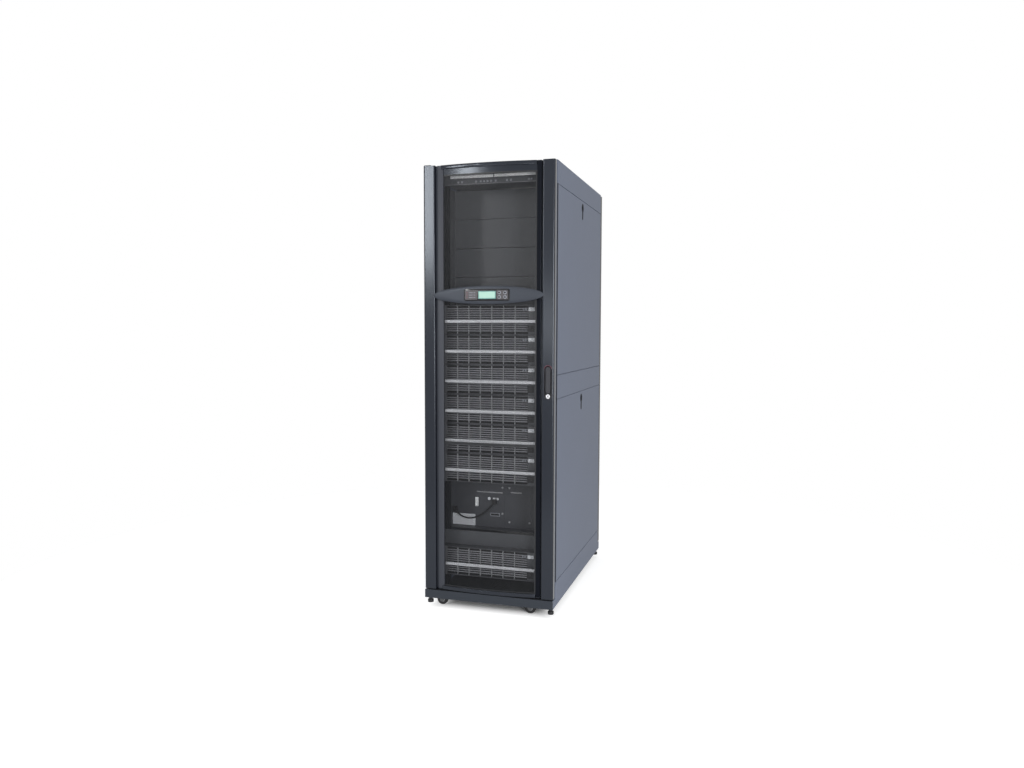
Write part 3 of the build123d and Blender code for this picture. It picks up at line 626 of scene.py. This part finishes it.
# Door trim: a filler in the left groove, a satin cover on the left inner strip, and a near-black strip on
# the right one that paints the shade falling on it
stile_low, stile_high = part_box("door_left_stile")
trim_end_gap = 3 * MM
trim_bottom, trim_top = stile_low.z + trim_end_gap, stile_high.z - trim_end_gap
groove_inner, groove_outer = 0.238, 0.246
groove_clearance = 0.3 * MM
groove_trim_front = stile_low.y + 14 * MM
groove_trim_back = stile_low.y + 26.5 * MM
groove_trim_edge = 1 * MM
bm = bmesh.new()
add_block(bm, (-groove_outer + groove_clearance, groove_trim_front, trim_bottom),
          (-groove_inner - groove_clearance, groove_trim_back, trim_top), groove_trim_edge)
make_piece("groove_trim", bm, "groove_grey", "front_door")

strip_face = stile_low.y + 11 * MM
strip_trim_front, strip_trim_back = strip_face - 1.2 * MM, strip_face + 0.3 * MM
strip_trim_edge = 0.5 * MM
strip_outer = 0.2365
shade_strip_inner, cover_inner = 0.2195, 0.2085
# The near-black strip on the right inner strip is painted shade
strip_trims = {"right_strip_shade": ("black_rubber_and_painted_shade", shade_strip_inner, strip_outer),
               "strip_cover": ("strip_satin", -strip_outer, -cover_inner)}
for name, (finish, left, right) in strip_trims.items():
    bm = bmesh.new()
    add_block(bm, (left, strip_trim_front, trim_bottom), (right, strip_trim_back, trim_top), strip_trim_edge)
    make_piece(name, bm, finish, "front_door")


# Console: an oval pillow that follows the bow of the door
console_half_width = console_high.x
console_half_height = (console_high.z - console_low.z) / 2
console_seat = stile_low.y - 0.3 * MM
console_tip_y = console_seat - 3.5 * MM
console_bow_half = console_half_width + 1 * MM
console_bow_rise = console_tip_y - console_low.y
console_radius = (console_bow_half ** 2 + console_bow_rise ** 2) / (2 * console_bow_rise)
console_mesh_gap = 0.3 * MM
pillow_flat_share = 0.70
pillow_fall_middle = 6.0 * MM
pillow_fall_tip = 2.9 * MM
pillow_tip_power = 4
pillow_shares = (0.2, 0.45, 0.70, 0.78, 0.85, 0.90, 0.94, 0.97, 0.99, 1.0)
pillow_segments = 128


def console_front(x):
    """How far forward the console's face lies at a place across the door."""
    return console_low.y + console_radius - sqrt(console_radius ** 2 - x ** 2)


def console_back(x):
    """Where the console's back lies: on the mesh, and on the stiles beyond it."""
    if abs(x) > mesh_half:
        return console_seat
    return mesh_axis_y - sqrt(mesh_radius ** 2 - x ** 2) - console_mesh_gap


bm = bmesh.new()
turns = [2 * pi * step / pillow_segments for step in range(pillow_segments)]
front_rings, back_rings = [], []
for share in pillow_shares:
    edge_turn = max(0, (share - pillow_flat_share) / (1 - pillow_flat_share))
    front_ring, back_ring = [], []
    for turn in turns:
        x = console_half_width * share * cos(turn)
        z = console_middle + console_half_height * share * sin(turn)
        towards_tip = abs(x / console_half_width) ** pillow_tip_power
        fall = pillow_fall_middle + (pillow_fall_tip - pillow_fall_middle) * towards_tip
        front_ring.append(bm.verts.new((x, console_front(x) + fall * (1 - sqrt(1 - edge_turn ** 2)), z)))
        back_ring.append(bm.verts.new((x, console_back(x), z)))
    front_rings.append(front_ring)
    back_rings.append(back_ring)
add_closed_form(bm, front_rings + back_rings[::-1])
make_piece("console_pillow", bm, "console_grey", "front_door", ("console_housing",))


# Display on the console: panels, lamps, marks, a window and keys (in millimetres)
display_low, display_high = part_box("display_panel")
display_proud = console_low.y - display_low.y
display_middle = (display_low.z + display_high.z) / 2


def on_display(across, up, proud=0.0):
    """A frame on the display's face: X along the face, Y up, Z outward."""
    turn = asin(across / console_radius)
    point = Vector((across, console_front(across) - display_proud - proud, display_middle + up))
    along, outward = Vector((cos(turn), sin(turn), 0)), Vector((sin(turn), -cos(turn), 0))
    return Matrix.Translation(point) @ Matrix((along, Vector((0, 0, 1)), outward)).transposed().to_4x4()


# Each plate: across and up from the display's middle, then its four sizes
seated = -1.0 * MM
lamp_rows = (10, 0, -10)
display_plates = {
    "display_indicators": ("panel_grey", [(-71, 0, 58, 40, 1.8, 3)]),
    "display_lamps": ("dull_red", [(-90, up, 7, 4, 2.6, 1.2) for up in lamp_rows]),
    "display_marks": ("grey_mark", [(across, up, width, 2.4, 2.1, 0.8)
                                    for across, width in ((-72, 18), (-56, 8)) for up in lamp_rows]),
    "display_window_rim": ("lcd_rim", [(2, 0, 80, 34, 1.9, 3)]),
    "display_window": ("lcd_glass", [(2, 0, 73, 27, 2.4, 2)]),
    "display_keypad": ("panel_grey", [(71, 0, 52, 40, 1.8, 4)]),
}
for name, (finish, plates) in display_plates.items():
    bm = bmesh.new()
    for across, up, *sizes in plates:
        add_plate(bm, on_display(across * MM, up * MM, seated), *(size * MM for size in sizes))
    make_piece(name, bm, finish, "front_door")

# Each turned part of the keys: its finish, how far out it starts, its profile and its segments
key_places = [(across, up) for across in (58, 84) for up in (-9.5, 9.5)]
key_parts = {
    "display_keys": ("grey_mark", 0, ((0, 7.6), (1.6, 7.6), (2.6, 6.6), (2.8, 4), (2.8, 0.4)), 28),
    "display_key_caps": ("display_black", 2.4, ((0, 4.4), (0.7, 4.4), (0.8, 0.3)), 20),
}
for name, (finish, proud, profile, segments) in key_parts.items():
    bm = bmesh.new()
    for across, up in key_places:
        place = on_display(across * MM, up * MM, proud * MM)
        add_lathe(bm, place.translation, place.col[2].xyz, in_metres(profile), segments)
    make_piece(name, bm, finish, "front_door")


# Door handle: a red bead over the dish, a ridge on the lever and a key slit in the lock, drawn as a
# near-black plate of painted shade
dish_low, dish_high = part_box("handle_dish")
dish_x = (dish_low.x + dish_high.x) / 2
dish_half = (dish_high.x - dish_low.x) / 2
bead_radius = 1.7 * MM
bead_steps = 24
bead_start, bead_sweep = 12, 156
bead_turns = [radians(bead_start + bead_sweep * step / bead_steps) for step in range(bead_steps + 1)]
bead_reach = dish_half - 1.2 * bead_radius
bead_height = dish_high.z - dish_half
bead_points = [Vector((dish_x + bead_reach * cos(turn), dish_low.y, bead_height + bead_reach * sin(turn)))
               for turn in bead_turns]
bm = bmesh.new()
add_bead(bm, bead_points, bead_radius)
make_piece("handle_bead", bm, "dull_red", "front_door")

lever_low, lever_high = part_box("door_handle")
lever_middle = (lever_low.z + lever_high.z) / 2
ridge_seat = 0.5 * MM
ridge_width, ridge_thickness, ridge_corner, ridge_edge = 11 * MM, 1.8 * MM, 5 * MM, 0.9 * MM
ridge_length = lever_high.z - lever_low.z - 22 * MM
bm = bmesh.new()
add_plate(bm, facing_front(dish_x, lever_low.y + ridge_seat, lever_middle), ridge_width, ridge_length,
          ridge_thickness, ridge_corner, ridge_edge)
make_piece("lever_ridge", bm, "handle_black", "door_lever")

lock_low, lock_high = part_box("door_lock")
lock_middle = (lock_low.z + lock_high.z) / 2
slit_seat = 0.3 * MM
slit_size = (4.4 * MM, 7.5 * MM, 0.7 * MM, 2 * MM)
# The key slit is a near-black plate: painted shade
bm = bmesh.new()
add_plate(bm, facing_front(dish_x, lock_low.y + slit_seat, lock_middle), *slit_size)
make_piece("lock_slit", bm, "painted_recess_shade", "front_door")


# Side panel latches: a thin keyhole plate and a turning knob over each
keyhole_head_radius = 16 * MM
keyhole_height = 66 * MM
keyhole_below_panel_top = 51 * MM
keyhole_low, keyhole_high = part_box("side_panel_latches")
keyhole_y = (keyhole_low.y + keyhole_high.y) / 2
knob_profile = in_metres(((-1, 11), (0.8, 11), (1.6, 10), (1.6, 0.5)))
knob_bar_half = Vector((2.2, 1.5, 9)) * MM
head_plate, head_plate_thickness = 42 * MM, 0.7 * MM
head_plate_corner = 0.49 * head_plate
stem_plate_width, stem_plate_length, stem_plate_thickness = 22 * MM, 57 * MM, 0.5 * MM
stem_plate_corner = 0.45 * stem_plate_width
bm = bmesh.new()
for level in ("upper", "lower"):
    for side_name, side in SIDES:
        panel_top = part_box(f"{side_name}_{level}_panel")[1].z
        knob_height = panel_top - keyhole_below_panel_top + keyhole_height / 2 - keyhole_head_radius
        knob_place = Vector((side * keyhole_high.x, keyhole_y, knob_height))
        facing_side = Matrix(((0, 0, side, 0), (side, 0, 0, 0), (0, 1, 0, 0), (0, 0, 0, 1)))
        head_place = Matrix.Translation(knob_place) @ facing_side
        stem_place = head_place @ Matrix.Translation((0, -stem_plate_length / 2, 0))
        add_plate(bm, head_place, head_plate, head_plate, head_plate_thickness, head_plate_corner)
        add_plate(bm, stem_place, stem_plate_width, stem_plate_length, stem_plate_thickness,
                  stem_plate_corner)
        add_lathe(bm, knob_place, (side, 0, 0), knob_profile, 24)
        add_block(bm, knob_place - knob_bar_half, knob_place + knob_bar_half)
make_piece("side_latch_knobs", bm, "black_rubber_and_painted_shade")


# Rear handle: a lever and a lock on its plate
rear_handle_low, rear_handle_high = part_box("rear_door_handle")
rear_handle_x = (rear_handle_low.x + rear_handle_high.x) / 2
rear_lever_below_top = 62 * MM
rear_lever_size = (15 * MM, 98 * MM, 7 * MM, 7 * MM)
rear_lever_edge = 1.5 * MM
facing_rear = Matrix.Rotation(pi, 4, "Z") @ Matrix.Rotation(pi / 2, 4, "X")
rear_lever_place = Matrix.Translation((rear_handle_x, rear_handle_high.y,
                                       rear_handle_high.z - rear_lever_below_top))
bm = bmesh.new()
add_plate(bm, rear_lever_place @ facing_rear, *rear_lever_size, rear_lever_edge)
make_piece("rear_lever", bm, "latch_black")

rear_lock_seat = 1 * MM
rear_lock_rise = 18 * MM
rear_lock = in_metres(((0, 8), (3, 8), (4, 7), (4, 0.4)))
bm = bmesh.new()
add_lathe(bm, (rear_handle_x, rear_handle_high.y - rear_lock_seat, rear_handle_low.z + rear_lock_rise),
          (0, 1, 0), rear_lock, 24)
make_piece("rear_lock", bm, "lock_chrome")


# A near-black strip along the front edge of each side, beside the door: painted shadow of the gap between
# door and side
edge_shade_depth, edge_shade_rise, edge_shade_root = 12 * MM, 0.5 * MM, 1 * MM
edge_shade_edge = 0.3 * MM
bm = bmesh.new()
for side_name, side in SIDES:
    lower_panel_low, lower_panel_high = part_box(f"{side_name}_lower_panel")
    upper_panel_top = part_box(f"{side_name}_upper_panel")[1].z
    outer = lower_panel_low.x if side < 0 else lower_panel_high.x
    near, far = sorted((outer - side * edge_shade_root, outer + side * edge_shade_rise))
    add_block(bm, (near, lower_panel_low.y - edge_shade_rise, lower_panel_low.z),
              (far, lower_panel_low.y + edge_shade_depth, upper_panel_top), edge_shade_edge)
make_piece("side_edge_shade_strips", bm, "black_rubber_and_painted_shade")


# Casters and feet: hubs, axle ends and lock nuts. A hub's profile has shares of its radius
wheel_bodies = {"front_left_caster_wheel": "left_wheel", "front_right_caster_wheel": "right_wheel"}
fork_bodies = {"front_left_caster_fork": "left_caster", "front_right_caster_fork": "right_caster"}
hub_radius = 12 * MM
hub_shares = ((-0.6, 1.0), (0.5, 1.0), (0.9, 0.92), (0.9, 0.55), (0.2, 0.5), (0.2, 0.31))
hub_profile = [(along * MM, share * hub_radius) for along, share in hub_shares]


def add_hubs(bm, x, near, far, z):
    """Hub discs on both faces of a wheel."""
    for y, way in ((near, -1), (far, 1)):
        add_lathe(bm, (x, y, z), (0, way, 0), hub_profile)


for node, body in wheel_bodies.items():
    low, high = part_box(node)
    bm = bmesh.new()
    add_hubs(bm, (low.x + high.x) / 2, low.y, high.y, (low.z + high.z) / 2)
    make_piece(f"{body}_hubs", bm, "hub_grey", body)

rear_wheels_low, rear_wheels_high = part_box("rear_caster_wheels")
wheel_radius = (rear_wheels_high.z - rear_wheels_low.z) / 2
bm = bmesh.new()
for x in (rear_wheels_low.x + wheel_radius, rear_wheels_high.x - wheel_radius):
    add_hubs(bm, x, rear_wheels_low.y, rear_wheels_high.y, wheel_radius)
make_piece("rear_wheel_hubs", bm, "hub_grey")

axle_profile = in_metres(((0, 5.5), (2.0, 5.5), (2.6, 4.8), (2.6, 0.4)))
fork_reach = 6 * MM
for node, body in fork_bodies.items():
    wheel_low, wheel_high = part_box(node.replace("fork", "wheel"))
    axle_x, axle_y = (wheel_low.x + wheel_high.x) / 2, (wheel_low.y + wheel_high.y) / 2
    fork_half = wheel_high.y - axle_y + fork_reach
    bm = bmesh.new()
    for way in (-1, 1):
        add_lathe(bm, (axle_x, axle_y + way * fork_half, wheel_radius), (0, way, 0), axle_profile, 20)
    make_piece(f"{body}_axle_ends", bm, "caster_zinc", body)

feet_low, feet_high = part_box("levelling_feet")
foot_radius = 13.5 * MM
nut_bottom = 33 * MM
nut_profile = in_metres(((0, 9), (0.8, 10), (7, 10), (7.8, 9)))
bm = bmesh.new()
for x in (feet_low.x + foot_radius, feet_high.x - foot_radius):
    for y in (feet_low.y + foot_radius, feet_high.y - foot_radius):
        add_lathe(bm, (x, y, nut_bottom), (0, 0, 1), nut_profile, 6)
make_piece("foot_nuts", bm, "foot_black", smooth_angle=20)


# Stage: a pale floor, white surroundings and soft lights
floor_radius = 2.6
floor_colour = (0.82, 0.82, 0.82, 1)
floor_roughness = 0.9
floor_glow = 0.56
glow_starts, glow_full = -0.11, -0.02
world_colour, world_strength = (0.94, 0.97, 1.0, 1), 0.30
WHITE = (1, 1, 1, 1)
floor_bm = bmesh.new()
bmesh.ops.create_circle(floor_bm, cap_ends=True, radius=floor_radius, segments=96)
floor_mesh = bpy.data.meshes.new("studio_floor")
floor_bm.to_mesh(floor_mesh)
floor_bm.free()
floor = bpy.data.objects.new("studio_floor", floor_mesh)
scene.collection.objects.link(floor)


def add_math(tree, operation, first, second=None):
    """One sum in a node tree, between an output and another output or a number."""
    node = tree.nodes.new("ShaderNodeMath")
    node.operation = operation
    tree.links.new(first, node.inputs[0])
    if isinstance(second, (int, float)):
        node.inputs[1].default_value = second
    elif second is not None:
        tree.links.new(second, node.inputs[1])
    return node.outputs["Value"]


def sees_background(tree):
    """One for camera, glossy and transmission rays, nought for the rays that light the object."""
    path = tree.nodes.new("ShaderNodeLightPath")
    total = path.outputs["Is Camera Ray"]
    for kind in ("Is Glossy Ray", "Is Transmission Ray"):
        total = add_math(tree, "MAXIMUM", total, path.outputs[kind])
    return total


floor_material = bpy.data.materials.new("studio_floor")
floor_material.use_nodes = True
floor_tree = floor_material.node_tree
floor_shader = floor_tree.nodes["Principled BSDF"]
floor_shader.inputs["Base Color"].default_value = floor_colour
floor_shader.inputs["Roughness"].default_value = floor_roughness
floor_shader.inputs["Specular IOR Level"].default_value = 0.0
floor_shader.inputs["Emission Color"].default_value = WHITE
glow = add_math(floor_tree, "MULTIPLY", sees_background(floor_tree), floor_glow)

# The floor doesn't glow underneath the cabinet, so the contact shadow stays
footprint_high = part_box("base_side_rails")[1]
floor_place = floor_tree.nodes.new("ShaderNodeTexCoord")
floor_axes = floor_tree.nodes.new("ShaderNodeSeparateXYZ")
floor_tree.links.new(floor_place.outputs["Object"], floor_axes.inputs["Vector"])
from_middle_x = add_math(floor_tree, "ABSOLUTE", floor_axes.outputs["X"])
from_middle_y = add_math(floor_tree, "ABSOLUTE", floor_axes.outputs["Y"])
past_side = add_math(floor_tree, "SUBTRACT", from_middle_x, footprint_high.x)
past_front = add_math(floor_tree, "SUBTRACT", from_middle_y, footprint_high.y)
outside = floor_tree.nodes.new("ShaderNodeMapRange")
outside.interpolation_type = "SMOOTHSTEP"
outside.inputs["From Min"].default_value = glow_starts
outside.inputs["From Max"].default_value = glow_full
floor_tree.links.new(add_math(floor_tree, "MAXIMUM", past_side, past_front), outside.inputs["Value"])
floor_tree.links.new(add_math(floor_tree, "MULTIPLY", glow, outside.outputs["Result"]),
                     floor_shader.inputs["Emission Strength"])
floor_mesh.materials.append(floor_material)

world = bpy.data.worlds.new("studio")
world.use_nodes = True
scene.world = world
world_tree = world.node_tree
background = world_tree.nodes["Background"]
background.inputs["Color"].default_value = world_colour
background.inputs["Strength"].default_value = world_strength
white = world_tree.nodes.new("ShaderNodeBackground")
white.inputs["Color"].default_value = WHITE
white.inputs["Strength"].default_value = 1.0
choice = world_tree.nodes.new("ShaderNodeMixShader")
world_tree.links.new(sees_background(world_tree), choice.inputs["Fac"])
world_tree.links.new(background.outputs["Background"], choice.inputs[1])
world_tree.links.new(white.outputs["Background"], choice.inputs[2])
world_tree.links.new(choice.outputs["Shader"], world_tree.nodes["World Output"].inputs["Surface"])


def soft_light(name, place, target, size, power):
    """A white rectangular soft box that faces a point."""
    data = bpy.data.lights.new(name, "AREA")
    data.shape = "RECTANGLE"
    data.size, data.size_y = size
    data.energy = power
    light = bpy.data.objects.new(name, data)
    aim = Vector(target) - Vector(place)
    light.matrix_world = Matrix.Translation(place) @ aim.to_track_quat("-Z", "Y").to_matrix().to_4x4()
    scene.collection.objects.link(light)


soft_light("left_soft_box", (-2.02, -4.3, 2.5), (-0.2, -0.5, 1.6), (0.6, 1.35), 63)
soft_light("left_strip", (-4.5, -0.9, 1.2), (0.0, -0.5, 1.1), (0.5, 3.0), 20)
soft_light("front_right_soft_box", (2.9, -4.3, 1.5), (-0.1, -0.3, 1.3), (1.0, 1.6), 150)
soft_light("front_fill", (1.25, -4.9, 0.9), (0.0, -0.3, 0.9), (0.7, 0.9), 34)
soft_light("front_panel", (-0.75, -4.5, 1.33), (0.27, -0.5, 1.3), (0.35, 0.5), 5)
soft_light("right_soft_box", (2.6, -1.9, 1.0), (0.3, -0.1, 0.9), (1.2, 1.6), 7)
soft_light("top_soft_box", (0.3, -0.6, 5.0), (0.2, 0.0, 0.0), (6.0, 6.0), 115)

scene.view_settings.view_transform = "Standard"
